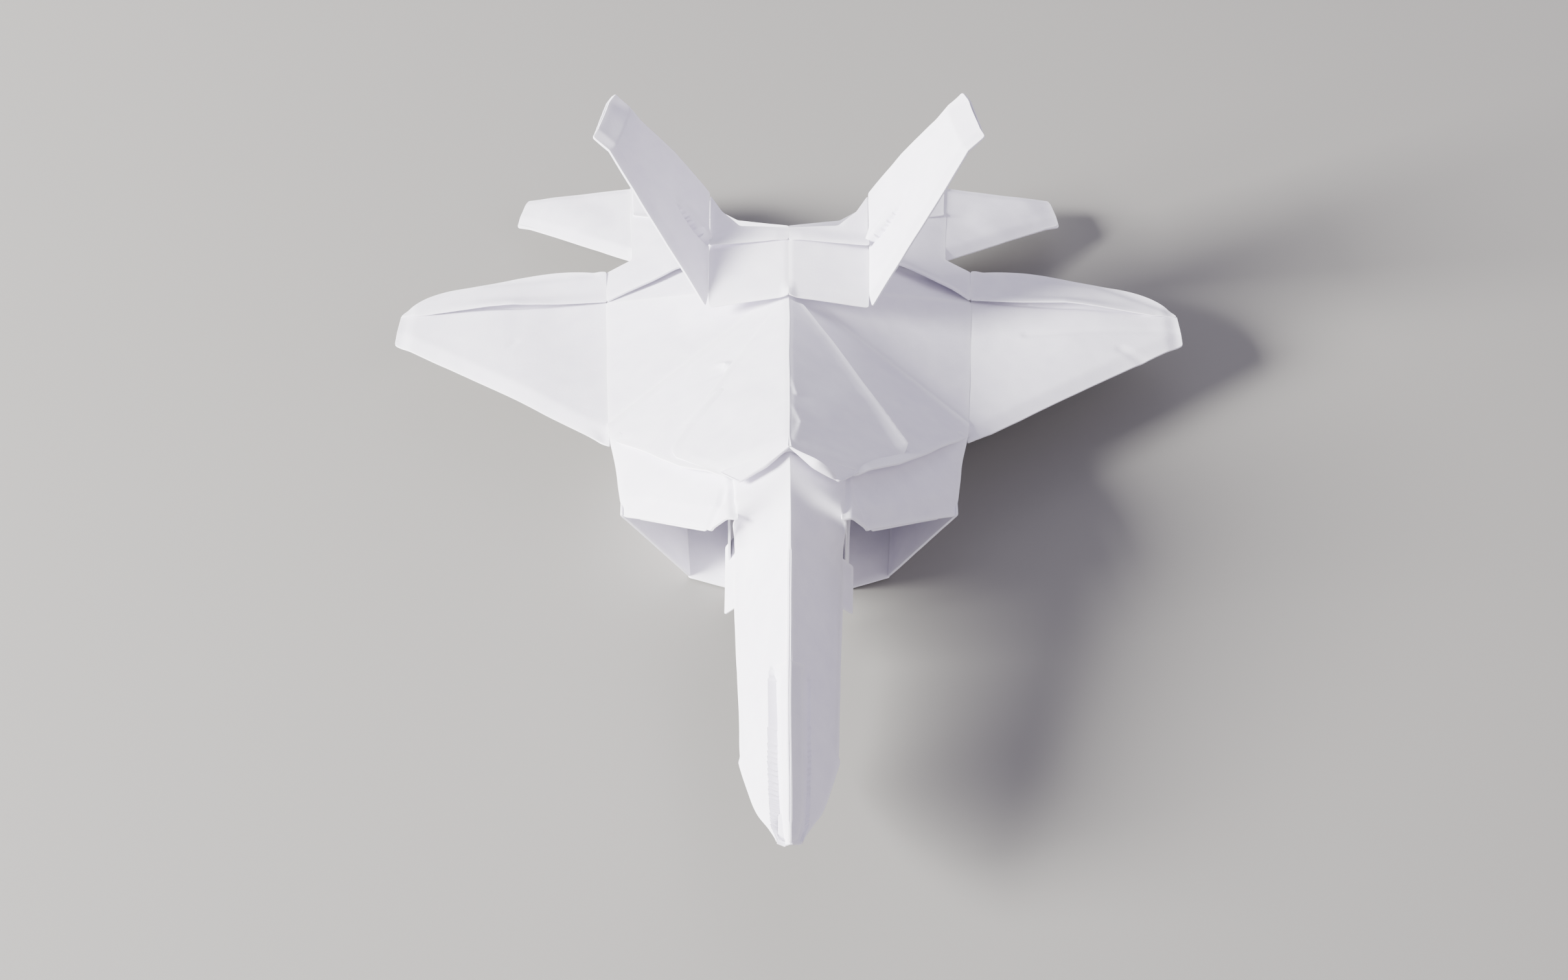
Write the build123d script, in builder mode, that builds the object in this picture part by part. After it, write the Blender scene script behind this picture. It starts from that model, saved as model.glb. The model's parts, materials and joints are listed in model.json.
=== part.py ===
from build123d import *
from math import cos, radians, sin
import os

# Folded paper jet, nose towards -Y, tail towards +Y, standing on its belly at Z = 0.
# The panels are drawn for the pilot's left side (+X) and mirrored to the right side (-X).
# Every panel is a flat ply of folded paper. Where two panels share a crease they are cut by the
# same upright face, and a panel that bends at a crease turns about a rounded edge.

# ---------------------------------------------------------------- driving dimensions, mm
paper = 0.12  # one sheet of paper
panel_sheets = 3  # sheets pressed together in a main panel
cover_sheets = 2  # sheets pressed together in a flap or hem on top of a panel
panel = paper * panel_sheets
cover = paper * cover_sheets
crease_gap = 0.08  # free space beside the rounded edge of a panel that bends
slip = 0.05  # free space between plies that lie along each other

length = 150.4
wing_span = 133.4
tail_y = 75.2  # half the length, so that the origin is at mid-length
nose_tip_y = tail_y - length

# ridge of the fuselage
ridge_height = 36.0
canopy_y = -14.4
band_y = 36.5  # where the ridge bends down under the tail band
band_ridge_height = 21.0
ridge_end_y = 52.0
ridge_end_height = 16.5

# wing root crease
root_front = Vector(29.3, 8.0, 12.6)
root_rear = Vector(32.0, 50.0, 10.4)
shoulder_y = 11.5  # where the fold across the roof meets the wing crease

# roof
canopy_corner = (10.3, -14.8)  # where the front edge of the roof turns outwards
roof_edge = (16.9, -8.8)

# nose
canopy_clearance = 0.48  # free height between the canopy's underside and the nose ridge
nose_ridge_drop = canopy_clearance + 2 * panel  # nose ridge below the roof ridge
nose_tip_height = 20.3
nose_tip_half_width = 1.6
nose_tip_slant = 1.8  # the blunt tip is swept back this far at its corners
tip_fold_length = 5.0
tip_fold_setback = 2.2  # the fold inside the tip starts this far behind it
taper_length = 21.0
taper_half_width = 7.7
taper_height = 11.8
nose_root_y = -20.5
nose_root_half_width = 9.0
flare_ridge_y = -31.0  # where the flare leaves the nose ridge
flare_rise = 0.1  # the flare's sheets lie this far above the nose ridge
strip_half_width = 2.3
strip_share = 0.61  # share of the nose ridge that the pressed pleat covers
under_width = 1.0  # how far the lower ply shows past the nose panel
under_gap = 0.7
under_front_y = -30.4

# intake
lip_outer = Vector(26.5, -9.6, 15.1)
lip_inner = Vector(9.0, -23.6, ridge_height - 6.6)
cowl_rear = Vector(27.8, 6.0, 13.4)
lip_curve_end = (12.6, -22.0)  # where the intake lip starts to curve into the canopy
lip_hem = 2.2
hem_margin = (0.6, 0.5)  # the hem stops short of the lip's inner end by this much
belly_front_half_width = 16.1
belly_rear_half_width = 20.0
belly_rear_y = 44.0
mouth_y = -10.0
chin_y = -15.5
inner_wall_x = 9.2
inner_wall_front_y = -19.6
inner_wall_rear_y = 18.0
inner_wall_gap = 0.4  # free height over the inner wall

# wing
wing_tip_height = 10.0
wing_tip_front_y = 33.6
wing_tip_chord = 6.9
wing_fold_width = 3.6
strip_root_y = 42.0  # where the aft strip starts on the root crease
strip_step = 2.5  # how far the front ply runs on under the aft strip
strip_inset = -0.15  # the strip's inner edge lies this far outside the crease

# tail
deck_front = Vector(31.2, 42.0, 11.48)
deck_centre = Vector(0.0, 56.0, 16.2)
deck_tail = Vector(28.8, tail_y - 0.6, 8.5)
deck_inset = 0.42  # deck edge from the wing crease, clear of the wing's rounded edge
stab_root_front_y = 53.4
stab_root_front_x = 27.6
stab_half_span = 48.6
stab_tip_front_y = 68.0
stab_tip_height = 5.4
stab_fold_width = 3.4

# tail band and fins
band_half_width = 13.6
band_front_height = 23.0
band_front_y = 31.6
band_end_drop = 1.8
band_end_sweep = -0.5
band_chord = 14.1
band_rise = 12.3  # degrees, rear edge up
band_front_chord = 12.8
fin_cant = 50.0  # degrees above the band
fin_height = 26.4
fin_sweep = 20.2
fin_tip_chord = 10.6
fin_root_chord = 22.8
fin_middle = (28.0, 17.4)  # corner of the rear edge: back along the root, and up
fin_fold_width = 1.6

os.makedirs("parts", exist_ok=True)


# ---------------------------------------------------------------- helpers
def facet(a, b, c):
    """Plane through three corners, facing up, with its x direction from a to b."""
    normal = (b - a).cross(c - a)
    if normal.Z < 0:
        normal = -normal
    return Plane(origin=a, x_dir=b - a, z_dir=normal)


def over(plane, x, y, rise=0.0):
    """Point of the plane over (x, y), lifted by rise."""
    n = plane.z_dir
    z = plane.origin.Z - (n.X * (x - plane.origin.X) + n.Y * (y - plane.origin.Y)) / n.Z
    return Vector(x, y, z + rise)


def upright(plane, thickness):
    """Upright depth of a ply that is this thick across its face."""
    return thickness / plane.z_dir.Z


def along(a, b, y):
    """Point of the line from a to b at station y."""
    return a + (b - a) * ((y - a.Y) / (b.Y - a.Y))


def flat(plane, corners):
    """Corners given in space, in the plane's own coordinates."""
    return [plane.to_local_coords(corner) for corner in corners]


def ply(corners, depth, direction):
    """Flat ply whose outer face has these corners, and which is this deep along direction."""
    plane = Plane(
        origin=corners[0],
        x_dir=corners[1] - corners[0],
        z_dir=(corners[1] - corners[0]).cross(corners[-1] - corners[0]),
    )
    with BuildPart() as made:
        with BuildSketch(plane):
            with BuildLine():
                Polyline(*flat(plane, corners), close=True)
            make_face()
        extrude(amount=depth, dir=direction)
    return made


def sandwich(plane, corners, low, high):
    """Ply parallel to a plane, between two distances from it."""
    with BuildPart() as made:
        with BuildSketch(plane.offset(low)):
            with BuildLine():
                Polyline(*[(at.X, at.Y) for at in flat(plane, corners)], close=True)
            make_face()
        extrude(amount=high - low)
    return made


def turning_panel(plane, corners, axis_end, low, high, radius):
    """Ply with a rounded edge along the crease that it bends about.

    The crease runs from the first corner to axis_end.
    """
    with BuildPart() as made:
        add(sandwich(plane, corners, low, high).part)
        with BuildSketch(Plane(origin=corners[0], z_dir=axis_end - corners[0])):
            Circle(radius)
        extrude(amount=(axis_end - corners[0]).length)
    return made


def roof_ply(plane, outline, thickness, rise=0.0):
    """Ply on a sloping plane, from its outline seen from above; its faces at creases are upright."""
    corners = [over(plane, x, y, rise) for x, y in outline]
    return ply(corners, upright(plane, thickness), (0, 0, -1))


def write(piece, name):
    piece.part.label = name
    export_step(piece.part, f"parts/{name}.step")


def write_pair(piece, name):
    """Write the left piece and its mirror image on the right."""
    write(piece, f"{name}_left")
    with BuildPart() as mirrored:
        mirror(piece.part, about=Plane.YZ)
    write(mirrored, f"{name}_right")


# ---------------------------------------------------------------- planes of the folded body
canopy_top = Vector(0, canopy_y, ridge_height)
ridge_at_band = Vector(0, band_y, band_ridge_height)
ridge_end = Vector(0, ridge_end_y, ridge_end_height)
crease_top = Vector(0, 0, panel / 2)
half_step = panel / 2 + crease_gap

shoulder = along(root_front, root_rear, shoulder_y) + crease_top
roof_front_plane = facet(canopy_top, ridge_at_band, shoulder)
roof_rear_plane = facet(ridge_at_band, shoulder, root_rear + crease_top)
cowl_plane = facet(lip_outer, lip_inner, cowl_rear)

nose_root = Vector(0, canopy_y, ridge_height - nose_ridge_drop)
nose_tip = Vector(0, nose_tip_y, nose_tip_height)
taper_y = nose_tip_y + taper_length
nose_plane = facet(nose_root, nose_tip, Vector(taper_half_width, taper_y, taper_height))
nose_lower = over(nose_plane, nose_root_half_width, nose_root_y)

deck_plane = facet(deck_front, deck_centre, deck_tail)
root_slope = (root_rear.X - root_front.X) / (root_rear.Y - root_front.Y)


def crease_x(y, inset=half_step):
    """Distance of the wing crease from the centre at station y, less the inset."""
    return root_front.X + root_slope * (y - root_front.Y) - inset


roof_tail_plane = facet(
    ridge_at_band,
    ridge_end,
    over(roof_rear_plane, crease_x(strip_root_y), strip_root_y),
)

# ---------------------------------------------------------------- nose
taper_round = [(7.0, 0.86), (4.7, 0.46)]  # half width and share of the taper still to come
nose_front = [(x, nose_tip_y + taper_length * share) for x, share in taper_round]
nose_side_outline = [
    (0, flare_ridge_y),
    (0, nose_tip_y),
    (nose_tip_half_width, nose_tip_y + nose_tip_slant),
    *reversed(nose_front),
    (taper_half_width, taper_y),
    (taper_half_width, taper_y + 6.0),
    (nose_root_half_width, nose_root_y),
]
nose_side = roof_ply(nose_plane, nose_side_outline, panel)
write_pair(nose_side, "nose_side")

strip_rear_y = nose_tip_y + (flare_ridge_y - nose_tip_y) * strip_share
nose_strip_outline = [
    (0, strip_rear_y),
    (0, nose_tip_y),
    (nose_tip_half_width - 0.3, nose_tip_y + nose_tip_slant),
    (strip_half_width, nose_tip_y + (strip_rear_y - nose_tip_y) * 0.23),
    (strip_half_width, strip_rear_y + 1.9),
]
nose_depth = upright(nose_plane, cover)
nose_strip = roof_ply(nose_plane, nose_strip_outline, cover, rise=nose_depth)
write_pair(nose_strip, "nose_pleat")

under_rise = -upright(nose_plane, panel + under_gap)
nose_under_outline = [
    (nose_root_half_width - 4.0, nose_root_y - 1.0),
    (nose_root_half_width - 4.0, under_front_y),
    (nose_root_half_width + under_width - 0.2, under_front_y + 2.8),
    (nose_root_half_width + under_width, nose_root_y - 1.0),
]
nose_under = roof_ply(nose_plane, nose_under_outline, cover, rise=under_rise)
write_pair(nose_under, "nose_lower_ply")

# fold that blunts the tip: level, between the undersides of the two nose sides
tip_fold_front_y = nose_tip_y + tip_fold_setback
tip_fold_edge = over(
    nose_plane,
    nose_tip_half_width,
    tip_fold_front_y,
    -upright(nose_plane, panel) - slip,
)
with BuildPart() as nose_tip_fold:
    with BuildSketch(Plane.XY.offset(tip_fold_edge.Z - panel)):
        with Locations((0, tip_fold_front_y + tip_fold_length / 2)):
            Rectangle(2 * tip_fold_edge.X, tip_fold_length)
    extrude(amount=panel)
write(nose_tip_fold, "nose_tip_fold")

# cheek: closes the step between the nose panel and the intake
cheek_top = over(cowl_plane, lip_inner.X, lip_inner.Y, -upright(cowl_plane, panel) - slip)
cheek_ridge = over(nose_plane, 0.6, flare_ridge_y + 0.9)
cheek = ply(
    [cheek_ridge, nose_lower + Vector(0, 0.6, 0.2), cheek_top],
    panel,
    (-0.35, 1.0, 0),
)
write_pair(cheek, "nose_cheek")

# flare: the nose sheet spreading out to the cowl below the canopy
flare_plane = facet(
    Vector(0, canopy_y + 1.0, ridge_height - nose_ridge_drop),
    over(nose_plane, 0, flare_ridge_y),
    lip_inner,
)
flare = roof_ply(
    flare_plane,
    [(0, canopy_y + 1.0), (0, flare_ridge_y), (lip_inner.X, lip_inner.Y), (6.6, -17.2)],
    panel,
    rise=flare_rise,
)
write_pair(flare, "canopy_flare")

# ---------------------------------------------------------------- intake
cowl_front = [(8.6, -18.4), (10.5, -21.2), lip_curve_end]
cowl_outline = [
    *cowl_front,
    (lip_outer.X, lip_outer.Y),
    (cowl_rear.X, cowl_rear.Y),
    (cowl_rear.X - 1.2, cowl_rear.Y - 1.0),
    (17.0, -4.5),
    (9.5, -11.5),
]
cowl = roof_ply(cowl_plane, cowl_outline, panel)
write_pair(cowl, "intake_cowl")

lip_direction = (Vector(*lip_curve_end) - Vector(lip_outer.X, lip_outer.Y)).normalized()
hem_back = Vector(-lip_direction.Y, lip_direction.X) * -lip_hem
hem_inner = Vector(*lip_curve_end) + Vector(*hem_margin)
hem_outer = lip_outer - Vector(2.6, 2.1)
hem_outline = [
    (hem_inner.X, hem_inner.Y),
    (hem_outer.X, hem_outer.Y),
    (hem_outer.X + hem_back.X, hem_outer.Y + hem_back.Y),
    (hem_inner.X + hem_back.X, hem_inner.Y + hem_back.Y),
]
hem_rise = -upright(cowl_plane, panel)
lip_fold = roof_ply(cowl_plane, hem_outline, cover, rise=hem_rise)
write_pair(lip_fold, "intake_lip_fold")

belly_outline = [
    (0, chin_y, 0),
    (belly_front_half_width, mouth_y, 0),
    (belly_rear_half_width, belly_rear_y, 0),
    (0, belly_rear_y, 0),
]
belly = ply([Vector(*corner) for corner in belly_outline], panel, (0, 0, 1))
write_pair(belly, "belly")

# outer wall, leaning out from the belly edge to the cowl and the roof
wall_bottom_front = Vector(belly_front_half_width, mouth_y, panel)
wall_bottom_rear = Vector(belly_rear_half_width, belly_rear_y, panel)
cowl_under = upright(cowl_plane, panel) + slip
wall_top_front = over(cowl_plane, lip_outer.X, lip_outer.Y, -cowl_under)
wall_plane = facet(wall_bottom_front, wall_bottom_rear, wall_top_front)


def wall_top(roof_plane, y):
    """Top of the outer wall under a roof plane at station y."""
    low, high = 0.0, 60.0
    for _ in range(60):
        x = (low + high) / 2
        roof_z = over(roof_plane, x, y).Z - upright(roof_plane, panel) - slip
        if over(wall_plane, x, y).Z < roof_z:
            low = x
        else:
            high = x
    return over(wall_plane, low, y)


outer_wall = ply(
    [
        wall_bottom_front,
        wall_bottom_rear,
        wall_top(roof_tail_plane, belly_rear_y),
        wall_top(roof_rear_plane, belly_rear_y - 3.5),
        wall_top(roof_rear_plane, shoulder_y),
        wall_top(cowl_plane, cowl_rear.Y),
        wall_top_front,
    ],
    panel / abs(wall_plane.z_dir.X),
    (-1, 0, 0),
)
write_pair(outer_wall, "outer_wall")


# inner wall, upright beside the core of the fuselage
def inner_wall_top(y):
    roofs = (roof_front_plane, cowl_plane)
    return min(over(roof, inner_wall_x, y).Z - upright(roof, panel) for roof in roofs) - slip


inner_wall = ply(
    [
        Vector(inner_wall_x, chin_y + 3.0, panel),
        Vector(inner_wall_x, inner_wall_rear_y, panel),
        Vector(inner_wall_x, inner_wall_rear_y, inner_wall_top(inner_wall_rear_y) - inner_wall_gap),
        Vector(inner_wall_x, -8.0, inner_wall_top(-8.0) - inner_wall_gap),
        Vector(inner_wall_x, inner_wall_front_y, inner_wall_top(inner_wall_front_y) - 1.2),
        Vector(inner_wall_x, inner_wall_front_y, nose_lower.Z - 2.0),
    ],
    panel,
    (-1, 0, 0),
)
write_pair(inner_wall, "inner_wall")

# ---------------------------------------------------------------- roof
roof_front = roof_ply(
    roof_front_plane,
    [
        (0, canopy_y),
        canopy_corner,
        roof_edge,
        (crease_x(root_front.Y), root_front.Y),
        (crease_x(shoulder_y), shoulder_y),
        (0, band_y),
    ],
    panel,
)
write_pair(roof_front, "roof_front")

roof_rear = roof_ply(
    roof_rear_plane,
    [(0, band_y), (crease_x(shoulder_y), shoulder_y), (crease_x(strip_root_y), strip_root_y)],
    panel,
)
write_pair(roof_rear, "roof_rear")

roof_tail = roof_ply(
    roof_tail_plane,
    [
        (0, band_y),
        (crease_x(strip_root_y), strip_root_y),
        (24.0, 47.0),
        (12.0, 53.0),
        (0, ridge_end_y + 3.5),
    ],
    panel,
)
write_pair(roof_tail, "roof_tail")

# pleat flap pressed flat on the roof, from the ridge to its free folded edge
flap_rise = upright(roof_front_plane, cover)
flap_outline = [
    (0, canopy_y + 1.5),
    (12.0, -12.0),
    (17.3, -5.4),
    (18.1, -4.3),
    (18.2, -2.7),
    (11.6, 11.2),
    (6.8, 21.5),
    (2.2, 30.5),
    (0, 31.0),
]
roof_flap = roof_ply(roof_front_plane, flap_outline, cover, rise=flap_rise)
write_pair(roof_flap, "roof_flap")

# canopy lip: the front of the roof bent down over the nose
lip_point = over(flare_plane, 7.4, -17.8, flare_rise + 1.2 * panel + slip)
canopy_plane = facet(canopy_top, over(roof_front_plane, *canopy_corner), lip_point)
canopy_lip = roof_ply(
    canopy_plane,
    [(0, canopy_y), (3.4, -16.6), (lip_point.X, lip_point.Y), canopy_corner],
    panel,
)
write_pair(canopy_lip, "canopy_lip")

# ---------------------------------------------------------------- wing
wing_half = wing_span / 2
wing_tip_front = Vector(wing_half, wing_tip_front_y, wing_tip_height)
wing_tip_rear_y = wing_tip_front_y + wing_tip_chord
wing_plane = facet(root_front, root_rear, wing_tip_front)
wing_sweep_back = [(47.0, 40.8), (62.4, 39.8)]  # front edge of the aft strip
wing_rear_y = strip_root_y + strip_step
wing_outline = [
    root_front,
    wing_tip_front,
    over(wing_plane, wing_half - 0.4, wing_tip_rear_y),
    *[over(wing_plane, x, y + strip_step) for x, y in reversed(wing_sweep_back)],
    along(root_front, root_rear, wing_rear_y),
]
wing = turning_panel(
    wing_plane, wing_outline, wing_outline[-1], -panel / 2, panel / 2, panel / 2
)
write_pair(wing, "wing")

# aft strip: upper ply along the trailing edge, with its free edge facing forward
strip_plane = wing_plane.offset(panel / 2)
trailing_edge = [(42.9, 49.9), (53.2, 47.5), (62.6, 44.1)]
with BuildPart() as wing_aft_strip:
    with BuildSketch(strip_plane):
        free_edge = [
            over(strip_plane, crease_x(strip_root_y, strip_inset), strip_root_y),
            *[over(strip_plane, x, y) for x, y in wing_sweep_back],
            over(strip_plane, wing_half - 0.5, wing_tip_rear_y - 0.3),
        ]
        rear_edge = [
            over(strip_plane, crease_x(root_rear.Y, strip_inset), root_rear.Y),
            *[over(strip_plane, x, y) for x, y in trailing_edge],
        ]
        with BuildLine():
            Polyline(*flat(strip_plane, free_edge))
            Spline(*flat(strip_plane, [*rear_edge, free_edge[-1]]))
            Line(*flat(strip_plane, [rear_edge[0], free_edge[0]]))
        make_face()
    extrude(amount=cover)
write_pair(wing_aft_strip, "wing_aft_strip")

leading_slope = (wing_tip_front.Y - root_front.Y) / (wing_tip_front.X - root_front.X)
wing_fold_outline = [
    (wing_half - 0.2, wing_tip_front_y + 0.1),
    (wing_half - 0.6, wing_tip_rear_y - 0.2),
    (wing_half - wing_fold_width, wing_tip_rear_y - 0.2),
    (wing_half - wing_fold_width, wing_tip_front_y - wing_fold_width * leading_slope + 0.3),
]
wing_tip_fold = sandwich(
    wing_plane,
    [over(wing_plane, *corner) for corner in wing_fold_outline],
    -panel / 2 - cover,
    -panel / 2,
)
write_pair(wing_tip_fold, "wing_tip_fold")

# ---------------------------------------------------------------- tail deck and stabilizers
stab_front = over(deck_plane, stab_root_front_x, stab_root_front_y, -panel / 2)
stab_rear = over(deck_plane, deck_tail.X, deck_tail.Y, -panel / 2)
stab_slope = (stab_rear.X - stab_front.X) / (stab_rear.Y - stab_front.Y)


def stab_crease_x(y, inset):
    return stab_front.X + stab_slope * (y - stab_front.Y) - inset


deck_outline = [
    (0, 55.9),
    (0, 54.4),
    (12.0, 51.6),
    (19.7, 48.0),
    (23.4, 45.6),
    (27.8, 43.4),
    (crease_x(strip_root_y, deck_inset), strip_root_y),
    (crease_x(root_rear.Y, deck_inset), root_rear.Y),
    (stab_crease_x(stab_root_front_y, half_step), stab_root_front_y - 0.6),
    (stab_crease_x(stab_rear.Y, half_step), stab_rear.Y),
    (22.0, stab_rear.Y - 0.2),
    (9.0, 59.8),
]
tail_deck = roof_ply(deck_plane, deck_outline, panel)
write_pair(tail_deck, "tail_deck")

tail_flap_outline = [
    (stab_crease_x(74.2, 0.75), 74.2),
    (21.6, 74.0),
    (14.0, 67.0),
    (13.0, 60.5),
    (24.4, 64.0),
    (stab_crease_x(65.4, 0.75), 65.4),
]
tail_flap = roof_ply(deck_plane, tail_flap_outline, cover, rise=upright(deck_plane, cover))
write_pair(tail_flap, "tail_flap")

stab_tip_front = Vector(stab_half_span, stab_tip_front_y, stab_tip_height)
stab_plane = facet(stab_front, stab_rear, stab_tip_front)
stab_outline = [
    stab_front,
    over(stab_plane, stab_half_span - 2.4, stab_tip_front_y - 1.2),
    stab_tip_front,
    over(stab_plane, stab_half_span - 1.5, tail_y),
    stab_rear,
]
stabilizer = turning_panel(
    stab_plane, stab_outline, stab_rear, -panel / 2, panel / 2, panel / 2
)
write_pair(stabilizer, "stabilizer")

stab_fold_outline = [
    (stab_half_span - 0.3, stab_tip_front_y + 0.1),
    (stab_half_span - 1.7, tail_y - 0.2),
    (stab_half_span - stab_fold_width - 1.5, tail_y - 0.2),
    (stab_half_span - stab_fold_width, stab_tip_front_y - 1.6),
]
stab_tip_fold = sandwich(
    stab_plane,
    [over(stab_plane, *corner) for corner in stab_fold_outline],
    -panel / 2 - cover,
    -panel / 2,
)
write_pair(stab_tip_fold, "stabilizer_tip_fold")

# ---------------------------------------------------------------- tail band and fins
chord_direction = Vector(0, cos(radians(band_rise)), sin(radians(band_rise)))
band_front = Vector(0, band_front_y, band_front_height)
band_end = Vector(
    band_half_width,
    band_front_y + band_end_sweep,
    band_front_height - band_end_drop,
)
band_plane = facet(band_front, band_front + chord_direction * band_chord, band_end)


def on_band(x, back):
    """Point of the band at distance x from the centre, this far back along its chord."""
    start = band_front + (band_end - band_front) * (x / band_half_width)
    return start + chord_direction * back


band_edge_x = band_half_width - half_step
band_front_ply = ply(
    [
        on_band(0, 0),
        on_band(band_edge_x, 0),
        on_band(band_edge_x, band_front_chord),
        on_band(0, band_front_chord - 0.6),
    ],
    upright(band_plane, cover),
    (0, 0, -1),
)
write_pair(band_front_ply, "tail_band_front")

band_lower = Vector(0, 0, -upright(band_plane, cover))
band_rear_ply = ply(
    [
        on_band(0, 6.0) + band_lower,
        on_band(band_edge_x, 6.0) + band_lower,
        on_band(band_edge_x, fin_root_chord - 0.4) + band_lower,
        on_band(11.4, band_chord + 4.8) + band_lower,
        on_band(8.2, band_chord + 1.5) + band_lower,
        on_band(0, band_chord) + band_lower,
    ],
    upright(band_plane, cover),
    (0, 0, -1),
)
write_pair(band_rear_ply, "tail_band_rear")

fin_up = Vector(1, 0, 0) * cos(radians(fin_cant)) + (
    Vector(0, -chord_direction.Z, chord_direction.Y) * sin(radians(fin_cant))
)
fin_axis_start = band_end + Vector(0, 0, -cover / 2)
fin_plane = Plane(
    origin=fin_axis_start,
    x_dir=chord_direction,
    z_dir=chord_direction.cross(fin_up),
)
fin_tip_rear = (fin_sweep + fin_tip_chord * 0.95, fin_height - fin_tip_chord * 0.31)


def on_fin(back, up):
    """Point of the fin's middle plane, back along its root crease and up from it."""
    return fin_axis_start + chord_direction * back + fin_up * up


fin_crease_end = band_front_chord + 0.4
fin_outline = [
    (0, 0),
    (fin_sweep, fin_height),
    fin_tip_rear,
    fin_middle,
    (14.7, 6.0),
    (fin_crease_end, 0),
]
fin = turning_panel(
    fin_plane,
    [on_fin(*corner) for corner in fin_outline],
    on_fin(fin_crease_end, 0),
    0,
    cover,
    cover,
)
write_pair(fin, "fin")

fin_rear_outline = [
    (6.0, cover + slip),
    (19.0, 20.0),
    fin_middle,
    (26.2, 8.7),
    (23.6, 1.9),
    (fin_root_chord, cover + slip),
]
fin_rear_ply = sandwich(fin_plane, [on_fin(*corner) for corner in fin_rear_outline], -cover, 0)
write_pair(fin_rear_ply, "fin_rear_ply")

fin_fold_outline = [
    (fin_sweep, fin_height - 0.15),
    fin_tip_rear,
    (fin_tip_rear[0] - 1.2, fin_tip_rear[1] - fin_fold_width),
    (fin_sweep - 0.6, fin_height - fin_fold_width - 0.6),
]
fin_tip_fold = sandwich(
    fin_plane, [on_fin(*corner) for corner in fin_fold_outline], cover, 2 * cover
)
write_pair(fin_tip_fold, "fin_tip_fold")
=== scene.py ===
import json
from math import cos, radians, sin

import bpy
import numpy as np
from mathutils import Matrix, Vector, noise
from mathutils.geometry import delaunay_2d_cdt


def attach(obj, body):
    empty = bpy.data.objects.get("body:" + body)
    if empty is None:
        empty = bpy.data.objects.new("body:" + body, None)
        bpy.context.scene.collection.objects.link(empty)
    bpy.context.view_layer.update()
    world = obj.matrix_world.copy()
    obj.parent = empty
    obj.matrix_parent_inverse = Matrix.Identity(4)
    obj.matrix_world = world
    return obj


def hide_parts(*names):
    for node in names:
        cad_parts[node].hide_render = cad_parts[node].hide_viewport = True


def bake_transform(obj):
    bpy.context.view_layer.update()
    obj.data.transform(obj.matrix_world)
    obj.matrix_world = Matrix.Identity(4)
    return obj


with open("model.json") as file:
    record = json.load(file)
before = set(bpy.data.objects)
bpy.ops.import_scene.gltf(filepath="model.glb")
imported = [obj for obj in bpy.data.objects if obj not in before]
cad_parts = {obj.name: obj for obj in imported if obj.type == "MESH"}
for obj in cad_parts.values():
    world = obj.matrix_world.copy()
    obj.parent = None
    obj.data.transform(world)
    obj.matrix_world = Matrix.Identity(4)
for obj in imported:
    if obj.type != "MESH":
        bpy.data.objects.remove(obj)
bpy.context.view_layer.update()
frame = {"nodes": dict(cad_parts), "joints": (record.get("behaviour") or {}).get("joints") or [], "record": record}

# Lengths in this script are millimetres until a mesh is written, then metres.
MM = 0.001
SHEET = 0.12  # one sheet of paper
GRID = 0.62  # spacing of the points inside a ply
FINE_GRID = 0.36  # the same on the plies with the narrowest folds
EDGE_STEP = 0.5  # spacing of the points along an outline
CORNER_RADIUS = 0.35
LARGE_WAVES = (0.22, 19.0)  # height and size of the unevenness that runs over whole panels
SMALL_WAVES = (0.05, 6.0)
RIPPLE = (0.03, 2.6)  # the same for the ripple that each ply has by itself
SHEET_BULGE = 0.35  # how far each sheet's edge stands out, as a share of its thickness
EDGE_HIGHLIGHT_WIDTH = 0.8  # width of the painted highlight, lighter paper, along a ply's edge
NEAR_CREASE = 0.9  # a corner this close to a crease lies on it
CREASE_REACH = 0.28  # how far a ply that bends runs on past its crease
STRIP_REACH = 0.55  # the same for the strip on the wing
FIN_REACH = 0.3  # the same for a fin
UPWARD = np.array([0.0, 0.0, 1.0])
SIDES = {"left": 1, "right": -1}  # +X is the pilot's left
JOINT_OF = {joint["child"]: joint for joint in frame["joints"]}


# ------------------------------------------------------------------ reading the frame
def mesh_arrays(node):
    """Vertices in mm, with vertices at one place merged, and triangles of a CAD node."""
    mesh = frame["nodes"][node].data
    mesh.calc_loop_triangles()
    per_metre = 1e6  # vertices within a micrometre are one
    points, where, merged = [], {}, []
    for vertex in mesh.vertices:
        key = tuple(round(c * per_metre) for c in vertex.co)
        if key not in where:
            where[key] = len(points)
            points.append([c / MM for c in vertex.co])
        merged.append(where[key])
    triangles = [[merged[i] for i in t.vertices] for t in mesh.loop_triangles]
    return np.array(points), np.array([t for t in triangles if len(set(t)) == 3])


def boundary(faces):
    """For each point on the edge of a patch of faces, the point that follows it."""
    edges = {}
    for face in faces:
        for i, p in enumerate(face):
            q = face[(i + 1) % len(face)]
            if (q, p) in edges:
                del edges[(q, p)]
            else:
                edges[(p, q)] = True
    return dict(edges.keys())


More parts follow.
